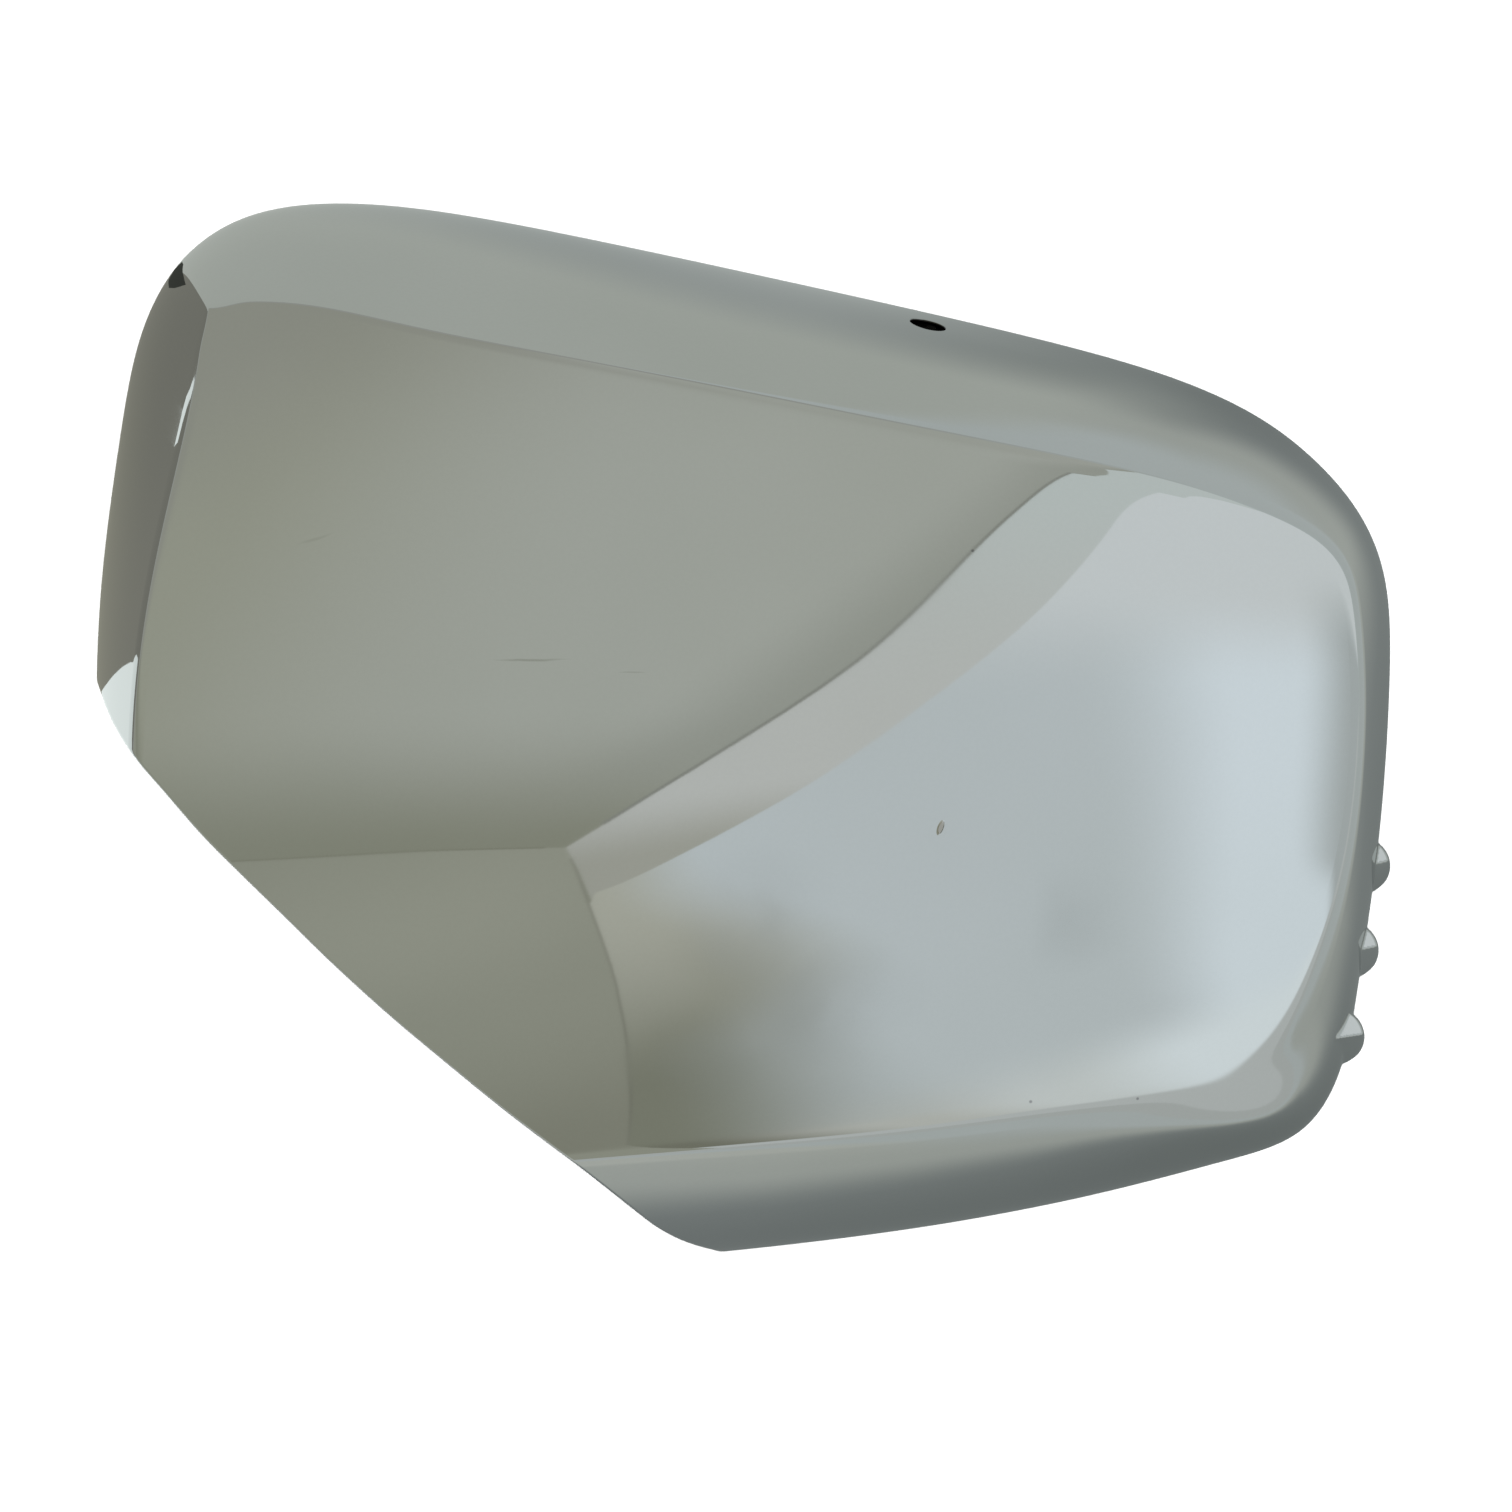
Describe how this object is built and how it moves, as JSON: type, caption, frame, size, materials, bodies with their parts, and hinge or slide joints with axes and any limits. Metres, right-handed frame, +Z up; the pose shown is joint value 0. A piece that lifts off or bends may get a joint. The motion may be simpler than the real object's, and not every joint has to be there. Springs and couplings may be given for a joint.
{
  "type": "wing mirror cover",
  "caption": "Chrome-plated outer cover of a car's wing mirror: a thin domed shell with a diagonal lower edge, a screw hole, grip nubs and locating pegs inside.",
  "frame": {"origin": "in the plane of the rim, under the middle of the cover's box", "axes": "+Z up from the rim to the plated face, +X to the outboard end, +Y to the upper edge of the fitted cover"},
  "size_m": [0.2362, 0.1919, 0.0704],
  "materials": {
    "chrome_plating": "bright plated plastic, lightly smudged"
  },
  "bodies": {
    "root": {"mirror_cover": "chrome_plating"}
  },
  "joints": []
}
